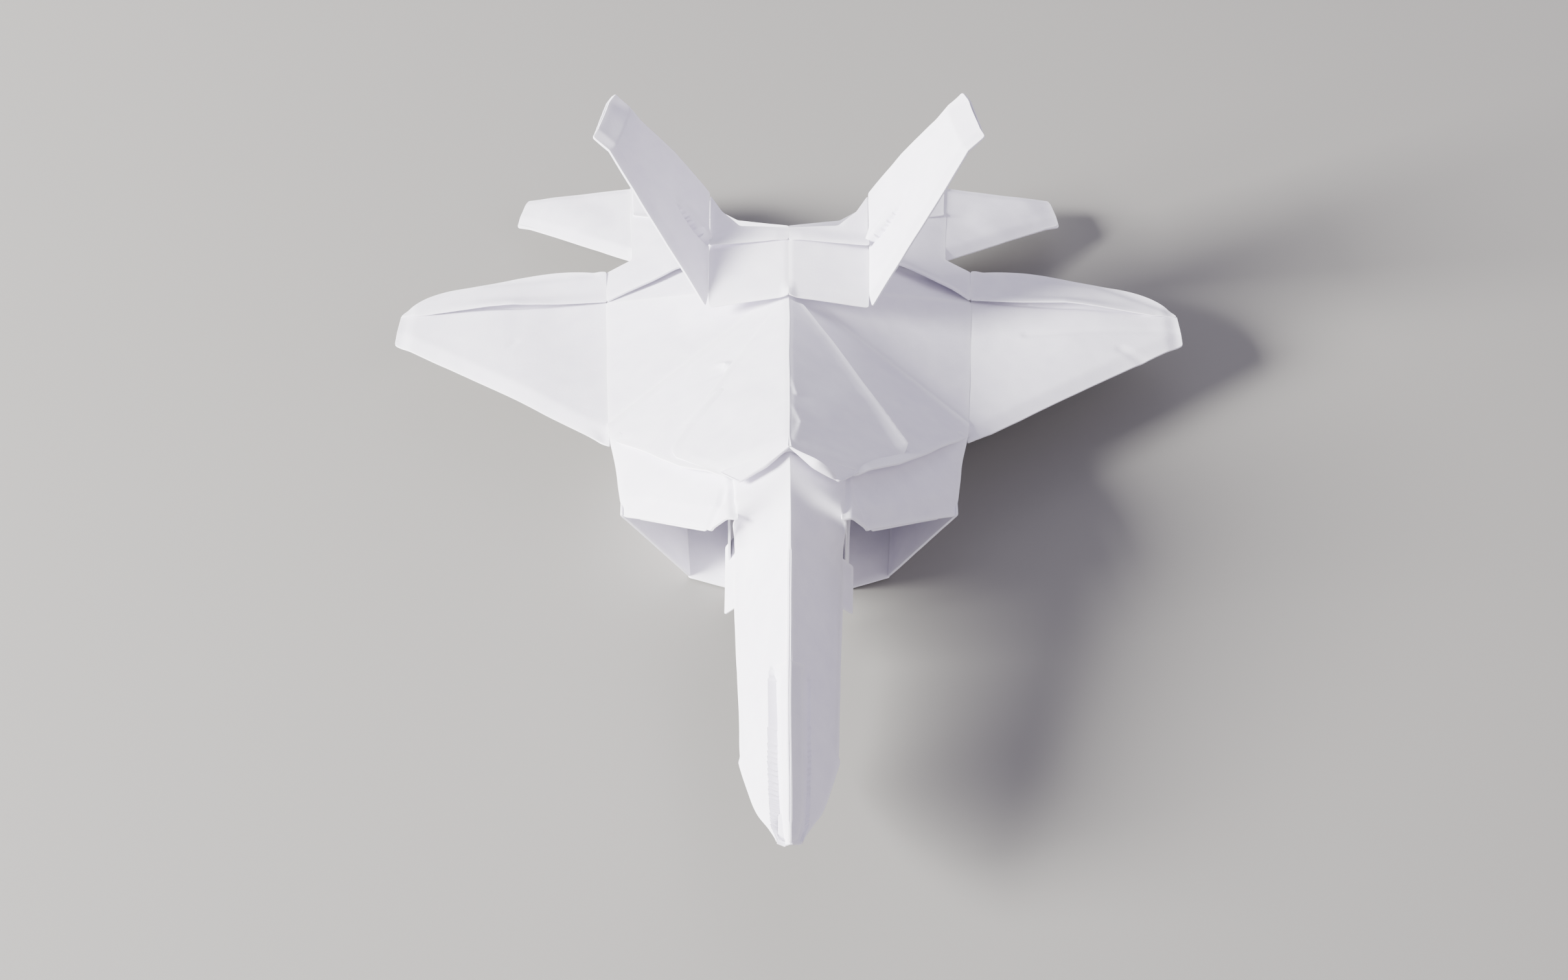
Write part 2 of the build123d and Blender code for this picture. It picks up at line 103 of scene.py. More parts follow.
def outer_face(node, toward):
    """Corners in order, normal and thickness of a CAD ply's flat face that looks toward a direction."""
    largest = 40  # triangles to try
    same_way, same_plane = 0.9999, 0.02  # cosine between normals, and distance
    straight = 0.01  # a corner that turns less than this is none
    points, triangles = mesh_arrays(node)
    a, b, c = (points[triangles[:, i]] for i in range(3))
    normals = np.cross(b - a, c - a)
    areas = np.linalg.norm(normals, axis=1)
    normals = normals / np.maximum(areas, 1e-12)[:, None]
    best, best_area = None, 0.0
    for i in np.argsort(-areas)[:largest]:
        if normals[i] @ toward <= 0:
            continue
        flat = (normals @ normals[i] > same_way) & (np.abs((a - a[i]) @ normals[i]) < same_plane)
        if areas[flat].sum() > best_area:
            best, best_area, normal, origin = flat, areas[flat].sum(), normals[i], a[i]
    depth = -((points - origin) @ normal).min()
    following = boundary(triangles[best])
    start = next(iter(following))
    loop, at = [start], following[start]
    while at != start:
        loop.append(at)
        at = following[at]
    corners = points[loop]
    before, after = corners - np.roll(corners, 1, 0), np.roll(corners, -1, 0) - corners
    turn = np.linalg.norm(np.cross(before, after), axis=1)
    lengths = np.linalg.norm(before, axis=1) * np.linalg.norm(after, axis=1)
    return corners[turn > straight * lengths], normal, depth


# ------------------------------------------------------------------ building a ply
def local_frame(normal):
    """Two directions in the ply's plane."""
    across = np.cross([0.0, 1.0, 0.0], normal)
    across /= np.linalg.norm(across)
    return across, np.cross(normal, across)


def rounded_outline(corners, radius):
    """Closed outline through the corners, with small round corners."""
    most = 0.4  # a rounded corner takes up at most this share of an edge
    outline = []
    for i, here in enumerate(corners):
        behind, there = corners[i - 1], corners[(i + 1) % len(corners)]
        length = np.linalg.norm(there - here)
        back = np.linalg.norm(here - behind)
        cut = min(radius, most * length, most * back)
        start = here + (behind - here) * cut / back
        end = here + (there - here) * cut / length
        for t in (0.0, 0.5):
            outline.append((1 - t) ** 2 * start + 2 * t * (1 - t) * here + t * t * end)
        steps = max(2, int(round(length / EDGE_STEP)))
        low, high = cut / length, 1 - min(radius, most * length) / length
        for k in range(steps):
            outline.append(here + (there - here) * (low + (high - low) * k / steps))
    return np.array(outline)


def inside(points, outline):
    """Which points lie inside the outline, and how far each is from it."""
    a, b = outline, np.roll(outline, -1, 0)
    x, y = points[:, 0:1], points[:, 1:2]
    crosses = (a[:, 1] > y) != (b[:, 1] > y)
    rise = np.where(b[:, 1] == a[:, 1], 1e-12, b[:, 1] - a[:, 1])
    at = a[:, 0] + (y - a[:, 1]) * (b[:, 0] - a[:, 0]) / rise
    odd = (crosses & (x < at)).sum(1) % 2 == 1
    edge = b - a
    along = ((x - a[:, 0]) * edge[:, 0] + (y - a[:, 1]) * edge[:, 1]) / (edge**2).sum(1)
    along = np.clip(along, 0, 1)
    gap = np.hypot(x - a[:, 0] - along * edge[:, 0], y - a[:, 1] - along * edge[:, 1]).min(1)
    return odd, gap


def triangulated(outline, spacing):
    """Points and triangles that fill the outline; the outline's own points come first."""
    low, high = outline.min(0), outline.max(0)
    rows = np.arange(low[1], high[1], spacing * 0.866)  # rows of even triangles
    grid = [
        (x, y)
        for k, y in enumerate(rows)
        for x in np.arange(low[0] + (k % 2) * spacing / 2, high[0], spacing)
    ]
    if grid:
        grid = np.array(grid)
        odd, gap = inside(grid, outline)
        grid = grid[odd & (gap > 0.5 * min(EDGE_STEP, spacing))]
    else:
        grid = np.zeros((0, 2))
    points = np.vstack([outline, grid])
    made, _, faces, _, _, _ = delaunay_2d_cdt(
        [Vector(p) for p in points], [], [list(range(len(outline)))], 1, 1e-7
    )
    return np.array([tuple(p) for p in made]), [list(face) for face in faces]


def wander(points, size, seed):
    """Smooth noise at the points, about -1 to 1, that changes over the given size."""
    shift = Vector((seed * 7.3, seed * 3.1, seed * 5.7))
    return np.array([noise.noise(Vector(p) / size + shift) for p in points])


def hand_folded(points):
    """The small overall unevenness of a hand-folded sheet, the same for all plies at one place."""
    large = np.stack([wander(points, LARGE_WAVES[1], seed) for seed in (1, 2, 3)], axis=1)
    small = np.stack([wander(points, SMALL_WAVES[1], seed) for seed in (4, 5, 6)], axis=1)
    return points + LARGE_WAVES[0] * large + SMALL_WAVES[0] * small


def path_gap(points, path, heights):
    """Distance in plan from a path, on which side of it, and the path's height at that place."""
    path = np.array(path, float)
    nearest = np.full(len(points), np.inf)
    height = np.zeros(len(points))
    inner = np.zeros(len(points), bool)
    for a, b, low, high in zip(path, path[1:], heights, heights[1:]):
        run = b - a
        along = np.clip(((points[:, :2] - a) @ run) / max(run @ run, 1e-9), 0, 1)
        gap = np.linalg.norm(points[:, :2] - a - along[:, None] * run, axis=1)
        closer = gap < nearest
        nearest = np.where(closer, gap, nearest)
        height = np.where(closer, low + (high - low) * along, height)
        turn = run[0] * (points[:, 1] - a[1]) - run[1] * (points[:, 0] - a[0])
        inner = np.where(closer, turn < 0, inner)
    return nearest, height, inner


def pressed(points, strokes):
    """Height that the strokes give to points of the left side, in mm.

    A stroke (path, width, heights) raises the paper along a path, or sinks it, and fades out over
    its width. A fourth value "fold" makes it a straight-sided fold instead of a round swelling.
    "ledge" lifts only the paper behind the path, so that it ends there in an upright edge, and
    "step" sinks the paper inside the path evenly from the ridge to such an edge.
    """
    total = np.zeros(len(points))
    for path, width, heights, *kind in strokes:
        gap, height, inner = path_gap(points, path, heights)
        near = np.clip(1 - gap / width, 0, 1)
        if kind != ["fold"]:
            near = near * near * (3 - 2 * near)
        if kind == ["ledge"]:
            near = np.where(inner, 0, near)
        if kind == ["step"]:
            away = np.clip(points[:, 0], 0, None)
            near = np.where(inner, away / (away + gap + 1e-6), 0)
        total += near * height
    return total


def shaped(points, normal, side, strokes):
    """Points of a ply with its strokes pressed in, the unevenness and its own ripple."""
    mirrored = points * [side, 1, 1]
    place = hand_folded(points + normal * pressed(mirrored, strokes)[:, None])
    return place + normal * (RIPPLE[0] * wander(place, RIPPLE[1], 9))[:, None]


def paper_ply(name, corners, normal, thickness, side=1, strokes=(), spacing=GRID):
    """Paper ply of that thickness below the face with these corners, as a mesh object."""
    across, up = local_frame(normal)
    origin = corners[0]
    flat = np.stack([(corners - origin) @ across, (corners - origin) @ up], axis=1)
    outline = rounded_outline(flat, CORNER_RADIUS)
    points, faces = triangulated(outline, spacing)
    _, edge_gap = inside(points, outline)
    place = origin + points[:, :1] * across + points[:, 1:] * up
    place = shaped(place, normal, side, strokes)
    return two_sided(name, place, faces, thickness, edge_gap)


def ruled_sheet(name, lines, normal, thickness, side, strokes):
    """Sheet through a row of straight lines, each given by its inner and outer end."""
    row_gap, columns = 0.45, 60
    window = 4.5  # the lines turn into one another over this length
    samples = 7  # places in the window that are averaged
    half_width = 9.0  # of the nose at its root
    ends = np.array(lines)
    steps = np.maximum(
        np.linalg.norm(np.diff(ends[:, 0], axis=0), axis=1),
        np.linalg.norm(np.diff(ends[:, 1], axis=0), axis=1),
    )
    at = np.r_[0, np.cumsum(steps)]
    rows = int(at[-1] / row_gap)
    stations = np.linspace(0, at[-1], rows)
    soft = np.zeros((rows, 2, 3))
    offsets = np.linspace(-0.5, 0.5, samples) * window
    for offset in offsets:
        near_end = np.minimum(stations, at[-1] - stations) * 2 / window
        where = stations + offset * np.clip(near_end, 0, 1)
        for which in range(2):
            for k in range(3):
                soft[:, which, k] += np.interp(where, at, ends[:, which, k]) / len(offsets)
    share = np.linspace(0, 1, columns)[None, :, None]
    place = (soft[:, 0][:, None] * (1 - share) + soft[:, 1][:, None] * share).reshape(-1, 3)
    place = shaped(place, normal, side, strokes)
    faces = []
    for row in range(rows - 1):
        for column in range(columns - 1):
            a = row * columns + column
            face = [a, a + 1, a + columns + 1, a + columns]
            faces.append(face if side > 0 else face[::-1])
    to_edge = np.minimum(share[0, :, 0], 1 - share[0, :, 0])
    gap = to_edge[None, :] * half_width + np.zeros((rows, 1))
    return two_sided(name, place, faces, thickness, gap.reshape(-1))


def two_sided(name, place, faces, thickness, edge_gap):
    """Object with the given upper surface, an under surface and a rim of the sheets' edges.

    edge_gap is each point's distance from the ply's edge; near the edge the paper gets a painted highlight that
    makes it lighter.
    """
    faces = [list(face) for face in faces]
    a, b, c = (place[[face[i] for face in faces]] for i in (0, 1, -1))
    face_normals = np.cross(b - a, c - a)
    normals = np.zeros_like(place)
    for i in range(len(faces[0])):
        np.add.at(normals, [face[i] for face in faces], face_normals)
    normals /= np.maximum(np.linalg.norm(normals, axis=1), 1e-12)[:, None]
    count = len(place)
    following = boundary(faces)
    rim = sorted(following)
    outward = {p: np.zeros(3) for p in rim}
    for p, q in following.items():
        side = np.cross(place[q] - place[p], normals[p])
        side /= max(np.linalg.norm(side), 1e-9)
        outward[p] = outward[p] + side
        outward[q] = outward[q] + side
    sheets = max(1, int(round(thickness / SHEET)))
    levels = [(k + half) / sheets for k in range(sheets) for half in (0.0, 0.5)][1:]
    vertices = [place, place - normals * thickness]
    rings = [{p: p for p in rim}]
    for k, level in enumerate(levels):
        bulge = SHEET_BULGE * SHEET if k % 2 == 0 else 0.0
        ring = []
        for p in rim:
            side = outward[p] / max(np.linalg.norm(outward[p]), 1e-9)
            ring.append(place[p] - normals[p] * thickness * level + side * bulge)
        base = 2 * count + len(rim) * k
        rings.append({p: base + i for i, p in enumerate(rim)})
        vertices.append(np.array(ring))
    rings.append({p: p + count for p in rim})
    polygons = faces + [[v + count for v in reversed(face)] for face in faces]
    for upper, lower in zip(rings, rings[1:]):
        for p, q in following.items():
            polygons.append([upper[q], upper[p], lower[p], lower[q]])
    vertices = np.vstack(vertices)
    mesh = bpy.data.meshes.new(name)
    mesh.from_pydata([tuple(v * MM) for v in vertices], [], polygons)
    mesh.validate()
    # Painted highlight: the paper near a ply's edge is given a lighter colour.
    edge_highlight = mesh.attributes.new("edge_highlight", "FLOAT", "POINT")
    near = np.ones(len(vertices))
    near[:count] = np.clip(1 - edge_gap / EDGE_HIGHLIGHT_WIDTH, 0, 1)
    near[count : 2 * count] = near[:count]
    edge_highlight.data.foreach_set("value", near.astype(np.float32))
    mesh.polygons.foreach_set("use_smooth", [True] * len(mesh.polygons))
    mesh.set_sharp_from_angle(angle=radians(40))
    piece = bpy.data.objects.new(name, mesh)
    bpy.context.collection.objects.link(piece)
    return piece


# ------------------------------------------------------------------ material
def paper_material():
    """Uncoated white office paper, faintly clouded, with a painted highlight that makes it lighter along its
    edges, and with a fine tooth.
    """
    material = bpy.data.materials.new("white_paper")
    material.use_nodes = True
    nodes, links = material.node_tree.nodes, material.node_tree.links
    shader = nodes["Principled BSDF"]
    shader.inputs["Roughness"].default_value = 0.82
    shader.inputs["Specular IOR Level"].default_value = 0.25
    shader.inputs["Subsurface Weight"].default_value = 0.12
    shader.inputs["Subsurface Radius"].default_value = (0.0012, 0.0011, 0.0013)
    shader.inputs["Subsurface Scale"].default_value = 1.0
    place = nodes.new("ShaderNodeTexCoord")
    cloud = nodes.new("ShaderNodeTexNoise")
    cloud.inputs["Scale"].default_value = 260.0
    cloud.inputs["Detail"].default_value = 5.0
    tint = nodes.new("ShaderNodeValToRGB")
    tint.color_ramp.elements[0].position = 0.3
    tint.color_ramp.elements[0].color = (0.80, 0.775, 0.86, 1)
    tint.color_ramp.elements[1].position = 0.7
    tint.color_ramp.elements[1].color = (0.86, 0.84, 0.91, 1)
    # Painted highlight: a lighter paper colour is mixed in near each ply's edge.
    highlight_node = nodes.new("ShaderNodeAttribute")
    highlight_node.attribute_name = "edge_highlight"
    blend = nodes.new("ShaderNodeMix")
    blend.data_type = "RGBA"
    blend.inputs[7].default_value = (0.89, 0.875, 0.93, 1)
    links.new(place.outputs["Object"], cloud.inputs["Vector"])
    links.new(cloud.outputs["Fac"], tint.inputs["Fac"])
    links.new(tint.outputs["Color"], blend.inputs[6])
    links.new(highlight_node.outputs["Fac"], blend.inputs["Factor"])
    links.new(blend.outputs[2], shader.inputs["Base Color"])
    fibre = nodes.new("ShaderNodeTexNoise")
    fibre.inputs["Scale"].default_value = 2600.0
    fibre.inputs["Detail"].default_value = 4.0
    bump = nodes.new("ShaderNodeBump")
    bump.inputs["Strength"].default_value = 0.25
    bump.inputs["Distance"].default_value = 0.00006
    links.new(place.outputs["Object"], fibre.inputs["Vector"])
    links.new(fibre.outputs["Fac"], bump.inputs["Height"])
    links.new(bump.outputs["Normal"], shader.inputs["Normal"])
    return material


PAPER = paper_material()


def place_piece(piece, body, *nodes):
    """Give a piece its paper and hide the CAD nodes that it stands for; a fuselage piece goes under the fuselage
    body, any other piece keeps its place with its transform baked.
    """
    piece.data.materials.clear()
    piece.data.materials.append(PAPER)
    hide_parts(*nodes)
    if body == "fuselage":
        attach(piece, body)
        return
    crease = JOINT_OF[body]
    at = Vector(crease["pos_m"])
    axis = Vector(crease["axis"])
    middle = sum((v.co for v in piece.data.vertices), Vector()) / len(piece.data.vertices)
    outward = (middle - at) - (middle - at).dot(axis) * axis
    outward.normalize()
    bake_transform(piece)


# ------------------------------------------------------------------ shapes pressed into the plies
# Strokes are drawn in plan on the pilot's left side, +X, and mirrored to the right side. Each is
# (path, width, heights) in mm, with the kind of stroke after it if it isn't a round swelling.
# Where the two sides of the airplane differ, the stroke is in ONE_SIDE.
WING_FRONT = ((29.3, 8.0), (48.0, 20.8), (66.7, 33.6))
STRIP_FRONT = ((31.8, 42.0), (47.0, 40.8), (62.4, 39.8))
DECK_FRONT = ((12.0, 51.6), (19.7, 48.0), (23.4, 45.6), (27.8, 43.4), (31.2, 42.0))
RIDGE = ((0, -14.4), (0, 36.5))
ROOF_FOLD = ((0, 36.5), (29.5, 11.5))
ROOF_EDGE = ((10.3, -14.8), (16.9, -8.8), (29.0, 8.0))
FLAP_EDGE = ((2.2, 30.5), (6.8, 21.5), (11.6, 11.2), (18.1, -2.9))
FIN_FRONT = ((13.6, 31.1), (30.6, 46.5))
FIN_TIP = ((30.6, 46.5), (28.7, 55.3))
FIN_SLIT = ((13.8, 43.2), (15.4, 43.6), (19.2, 46.2))
BAND_FRONT = ((0, 31.6), (13.4, 31.1))
PLEAT_EDGE = ((2.6, -45.5), (2.8, -48.0), (2.9, -60.0), (2.6, -70.0), (1.6, -73.4))

ROLLED_WING = [
    (WING_FRONT, 2.6, (-0.9, -0.8, -0.5), "fold"),
    (((44, 24), (50, 38)), 14.0, (0.6, 0.6)),
    (((66, 32), (66, 41)), 2.5, (-0.35, -0.35)),
]
RIDGE_CREASE = (RIDGE, 0.7, (-0.12, -0.1))
CANOPY_DROOP = (((0, -14.4), (10.3, -14.8)), 3.2, (-0.45, -0.7))
STROKES = {
    "wing": ROLLED_WING + [(((32, 43.2), (47, 42.0), (60, 41.0)), 1.6, (-0.4, -1.0, -0.3))],
    "wing_aft_strip": ROLLED_WING + [
        (STRIP_FRONT, 3.4, (0.3, 1.1, 0.1)),
        (((34, 49.9), (53, 47.8), (65, 42)), 1.8, (-0.35, -0.4, -0.3)),
    ],
    "wing_tip_fold": ROLLED_WING,
    "roof_front": [
        RIDGE_CREASE,
        (((14, 6), (20, 4)), 9.0, (0.35, 0.35)),
        CANOPY_DROOP,
        (ROOF_FOLD, 0.9, (0.1, 0.5), "fold"),
        (((22, 0), (29, 8)), 2.0, (0.0, -0.25)),
    ],
    "roof_rear": [
        (((18, 32), (27, 30)), 8.0, (-0.25, -0.1)),
        (ROOF_FOLD, 0.9, (0.1, 0.5), "fold"),
    ],
    "roof_tail": [
        (((12, 52.8), (19.7, 49.2), (24, 46.6), (28.5, 44)), 2.6, (-0.1, -0.3, -0.3, -0.1)),
    ],
    "roof_flap": [
        RIDGE_CREASE,
        CANOPY_DROOP,
        (((11.4, -13.8), (17.5, -6.2)), 1.6, (-0.3, -0.05)),
        (((6, 0), (9, 4)), 6.0, (0.25, 0.25)),
    ],
    "tail_deck": [(((22, 56), (24, 66)), 6.0, (0.3, 0.3))],
    "tail_flap": [(((13.5, 60.5), (24.4, 64), (28, 65.5)), 1.5, (0.3, 0.35, 0.3))],
    "stabilizer": [
        (((27.6, 53.4), (48.6, 68)), 2.4, (-0.8, -0.5), "fold"),
        (((36, 66), (42, 71)), 6.0, (0.45, 0.4)),
        (((29, 74.6), (47, 75.2)), 1.6, (-0.3, -0.3)),
    ],
    "nose_skin": [
        (((0, -72), (0, -31)), 0.7, (-0.1, -0.12)),
        (((4.6, -66), (5.0, -24)), 4.2, (0.3, 0.4)),
        (((7.7, -54), (9.0, -21)), 1.5, (-0.45, -0.5)),
        (((9.1, -23.6), (8.8, -18.4), (9.6, -11.5)), 0.9, (-0.3, -0.6, -0.6)),
    ],
    "nose_pleat": [(((0, -72), (0, -31)), 0.7, (-0.1, -0.12))],
    "intake_cowl": [
        (((12.6, -22), (26.5, -9.6)), 3.0, (-1.1, -0.8), "fold"),
        (((18, -9), (25, -2)), 6.0, (0.55, 0.4)),
        (((26.9, -8), (27.8, 2)), 1.4, (-0.35, 0.0)),
        (((22, -2), (28.2, 8.0)), 4.5, (0.2, 1.25)),
        (((8.1, -23.3), (8.6, -11.5)), 1.1, (-0.7, -0.7)),
        (((9.8, -16.0), (10.4, -19.2), (12.8, -21.8)), 0.9, (-0.2, -0.5, -0.3)),
    ],
    "intake_lip_fold": [(((12.6, -22), (26.5, -9.6)), 3.0, (-1.1, -0.8), "fold")],
    "tail_band_front": [
        (BAND_FRONT, 2.3, (0.0, -0.6), "fold"),
        (((0, 31), (0, 33.5)), 1.5, (0.5, 0.2)),
        (((0, 44), (0, 33.5)), 0.7, (-0.14, -0.14)),
        (((2, 43.7), (13.4, 43.4)), 1.8, (-0.1, -0.9)),
    ],
    "tail_band_rear": [
        (((0, 42.6), (2.0, 42.6), (13.4, 42.2)), 3.4, (0.4, 0.8, 1.35)),
        (((0, 45.4), (8.2, 47.2)), 1.4, (-0.25, -0.2)),
    ],
    "fin_skin": [
        (FIN_FRONT, 1.7, (-0.7, -0.6), "fold"),
        (FIN_TIP, 2.4, (-1.5, -1.5), "fold"),
        (FIN_SLIT, 3.6, (0.9, 1.2, 0.0), "ledge"),
        (FIN_SLIT, 0.8, (-0.6, -1.0, -0.1), "fold"),
        (((22, 45), (27, 52)), 4.5, (0.25, 0.25)),
    ],
    "fin_tip_fold": [(FIN_TIP, 2.4, (-1.5, -1.5), "fold")],
    "belly": [(((0, -14), (15, -9.6)), 1.5, (-0.15, -0.15))],
}
ONE_SIDE = {
    "wing_aft_strip_left": [(STRIP_FRONT, 3.4, (0.2, 0.35, 0.0))],
    "tail_deck_left": [(DECK_FRONT, 3.4, (0.2, 1.1, 1.4, 1.1, 0.2))],
    "tail_deck_right": [(DECK_FRONT, 2.8, (0.1, 0.5, 0.5, 0.4, 0.1))],
    "roof_front_left": [
        (ROOF_EDGE, 4.0, (0.1, 0.55, 0.2)),
        (((6, -8), (20, -1)), 5.0, (-0.25, -0.3)),
    ],
    "roof_front_right": [
        (((8.3, 12.5), (10.2, 17.2), (11.8, 18.4)), 0.9, (0.1, 0.6, 0.1), "fold"),
        (((9.6, 15.6), (13.8, 14.2)), 1.1, (-0.5, -0.05)),
        (((11, 9), (19, -3)), 1.3, (0.3, 0.05), "fold"),
    ],
    "roof_flap_left": [
        (FLAP_EDGE, 2.0, (0.12, 0.2, 0.25, 0.7)),
        (FLAP_EDGE, 0.6, (0.15, 0.2, 0.25, 0.3), "fold"),
        (((0.4, 6.0), (1.1, 1.0)), 0.55, (0.0, 0.28), "fold"),
        (((0.5, -2.0), (1.7, -7.0), (1.0, -12.0)), 0.7, (0.0, 0.35, 0.1), "fold"),
    ],
    "roof_flap_right": [(FLAP_EDGE, 1.6, (-0.1, 0.0, 0.2, 0.1))],
    "wing_right": [
        (((46, 32.5), (47, 31)), 0.6, (-0.18, -0.1)),
        (((29.8, 10.0), (31.6, 12.2)), 1.8, (-0.5, -0.1)),
    ],
    "wing_left": [
        (((40, 34), (66, 36.5)), 1.0, (-0.25, -0.15)),
        (((56, 31), (60, 28.5)), 1.5, (-0.2, -0.1)),
        (((29.4, 8.4), (32.0, 10.4)), 1.4, (0.6, 0.2)),
    ],
}
# The groove beside the nose ridge is a step in the skin and in the pleat, deeper on the right.
for half, depth in (("right", 1.6), ("left", 0.45)):
    for base in ("nose_skin", "nose_pleat"):
        sunk = (0.0, -0.8 * depth, -depth, -depth, -0.7 * depth)
        ONE_SIDE[f"{base}_{half}"] = [(PLEAT_EDGE, 0, sunk, "step")]
FINE = ("tail_band_front", "tail_band_rear", "intake_cowl", "roof_flap", "fin_tip_fold")
# Corners of a CAD face, in plan on +X, and where the paper ply has them instead.
MOVED = {
    "intake_cowl": {
        (27.8, 6.0): (28.2, 8.0),
        (26.6, 5.0): (27.0, 8.6),
        (10.5, -21.2): (10.7, -22.5),
        (8.6, -18.4): (8.1, -23.3),
        (9.5, -11.5): (8.6, -11.5),
    },
    "roof_flap": {
        (0.0, -12.9): (0.0, -14.4),
        (12.0, -12.0): (11.4, -13.8),
        (17.3, -5.4): (17.5, -6.2),
    },
    "roof_tail": {(24.0, 47.0): (25.8, 49.8), (12.0, 53.0): (14.0, 55.6)},
    "nose_lower_ply_right": {(10.0, -21.5): (9.7, -16.5), (5.0, -21.5): (5.0, -16.5)},
    "nose_lower_ply_left": {(10.0, -21.5): (9.9, -19.5)},
    "tail_band_rear": {(0.0, 37.5): (0.0, 42.6), (13.2, 37.0): (13.2, 42.3)},
}


# ------------------------------------------------------------------ the pieces
def crease_of(body):
    """A point of a moving body's crease, in mm, and the crease's direction."""
    crease = JOINT_OF[body]
    return np.array(crease["pos_m"]) / MM, np.array(crease["axis"])


def grown_to_crease(corners, body, reach):
    """Corners beside the crease, moved across it by reach, so that the ply runs on to its neighbour."""
    at, axis = crease_of(body)
    middle = corners.mean(0)
    grown = corners.copy()
    for i, corner in enumerate(corners):
        foot = at + ((corner - at) @ axis) * axis
        if np.linalg.norm(corner - foot) < NEAR_CREASE:
            inward = foot - middle
            inward -= (inward @ axis) * axis
            grown[i] = corner + inward / np.linalg.norm(inward) * reach
    return grown


def moved_corners(corners, normal, moved, side):
    """Face corners, with those that the table names put elsewhere in the same plane."""
    corners = corners.copy()
    for place, target in moved.items():
        gap = np.hypot(corners[:, 0] * side - place[0], corners[:, 1] - place[1])
        i = np.argmin(gap)
        shift = np.array([target[0] * side - corners[i, 0], target[1] - corners[i, 1]])
        corners[i] += [*shift, -(normal[:2] @ shift) / normal[2]]
    return corners


def flat_plies():
    """A paper ply for each CAD piece that isn't part of a longer or curled sheet."""
    skip = ("canopy_flare", "nose_cheek", "nose_side", "canopy_lip", "fin", "fin_rear_ply")
    for body, nodes in frame["record"]["behaviour"]["bodies"].items():
        for node in nodes:
            base, _, hand = node.rpartition("_")
            if base in skip:
                continue
            side = SIDES.get(hand, 1)
            toward = UPWARD
            if base in ("outer_wall", "inner_wall"):
                toward = np.array([float(side), 0.0, 0.0])
            if base == "belly":
                toward = -UPWARD
            corners, normal, thickness = outer_face(node, toward)
            moved = MOVED.get(node, MOVED.get(base, {}))
            corners = moved_corners(corners, normal, moved, side)
            if body != "fuselage":
                reach = STRIP_REACH if base == "wing_aft_strip" else CREASE_REACH
                corners = grown_to_crease(corners, body, reach)
            strokes = STROKES.get(base, []) + ONE_SIDE.get(node, [])
            spacing = FINE_GRID if base in FINE else GRID
            piece = paper_ply(f"{node}_paper", corners, normal, thickness, side, strokes, spacing)
            place_piece(piece, body, node)


def fin_skins():
    """Each fin's front and rear plies, pressed together into one sheet with the slit in its root."""
    slit_back, slit_up = 5.0, 7.5  # the front ply's corners at the slit are left out
    root_back, root_up = 15.0, 10  # the rear ply gives only its corners at the root
    for hand, side in SIDES.items():
        body = f"fin_{hand}"
        front, normal, thickness = outer_face(f"fin_{hand}", UPWARD)
        rear, _, _ = outer_face(f"fin_rear_ply_{hand}", UPWARD)
        at, axis = crease_of(body)
        axis = axis * np.sign(axis[1])

        def on_fin(corners):
            """How far back along the crease, and how far up from it, the corners are."""
            back = (corners - at) @ axis
            up = np.linalg.norm(corners - at - back[:, None] * axis, axis=1)
            return back, up

        back, up = on_fin(front)
        ahead = front[~((up < slit_up) & (back > slit_back))] + normal * thickness
        back, up = on_fin(rear)
        behind = rear[(up < root_up) & (back > root_back)]
        corners = np.vstack([ahead, behind])
        middle = corners.mean(0)
        across, along = local_frame(normal)
        turn = np.arctan2((corners - middle) @ along, (corners - middle) @ across)
        corners = grown_to_crease(corners[np.argsort(turn)], body, FIN_REACH)
        strokes = STROKES["fin_skin"]
        name = f"fin_{hand}_paper"
        piece = paper_ply(name, corners, normal, 2 * thickness, side, strokes, FINE_GRID)
        place_piece(piece, body, f"fin_{hand}", f"fin_rear_ply_{hand}")


def nose_skins():
    """The sheet on each side of the nose, from the tip to where it spreads under the canopy."""
    on_ridge = 0.1  # a corner this close to the middle is on the ridge
    cowl_rear = (9.5, -11.5)  # the cowl's inner rear corner, under the roof
    for hand, side in SIDES.items():
        nose, normal, thickness = outer_face(f"nose_side_{hand}", UPWARD)
        flare, _, _ = outer_face(f"canopy_flare_{hand}", UPWARD)
        cowl, _, _ = outer_face(f"intake_cowl_{hand}", UPWARD)
        ridge = nose[np.abs(nose[:, 0]) < on_ridge]
        tip, ridge_rear = ridge[np.argsort(ridge[:, 1])][[0, -1]]
        edge = nose[np.abs(nose[:, 0]) > on_ridge]
        edge = edge[np.argsort(edge[:, 1])]
        top = flare[np.argmax(flare[:, 1])]
        inner = flare[np.argmax(np.abs(flare[:, 0]))]
        mouth = cowl[np.argsort(cowl[:, 1])[:4]]
        mouth = mouth[np.argsort(np.abs(mouth[:, 0]))][0]
        from_rear = np.abs(cowl[:, 0] * side - cowl_rear[0]) + np.abs(cowl[:, 1] - cowl_rear[1])
        hidden = cowl[np.argmin(from_rear)]
        lines = []
        for corner in edge:
            share = (corner[1] - edge[0][1]) / (edge[-1][1] - edge[0][1])
            lines.append((tip + (ridge_rear - tip) * share**0.9, corner))
        root = edge[-1]
        for share, outer_end in ((0.35, root * 0.5 + inner * 0.5), (0.7, inner), (0.92, mouth)):
            lines.append((ridge_rear + (top - ridge_rear) * share, outer_end))
        lines.append((top + [0, 0.6, 0.1], hidden + [0, 0, -0.5]))
        strokes = STROKES["nose_skin"] + ONE_SIDE[f"nose_skin_{hand}"]
        name = f"nose_{hand}_paper"
        piece = ruled_sheet(name, lines, normal, thickness, side, strokes)
        nodes = [f"{base}_{hand}" for base in ("nose_side", "canopy_flare", "nose_cheek")]
        place_piece(piece, "fuselage", *nodes)


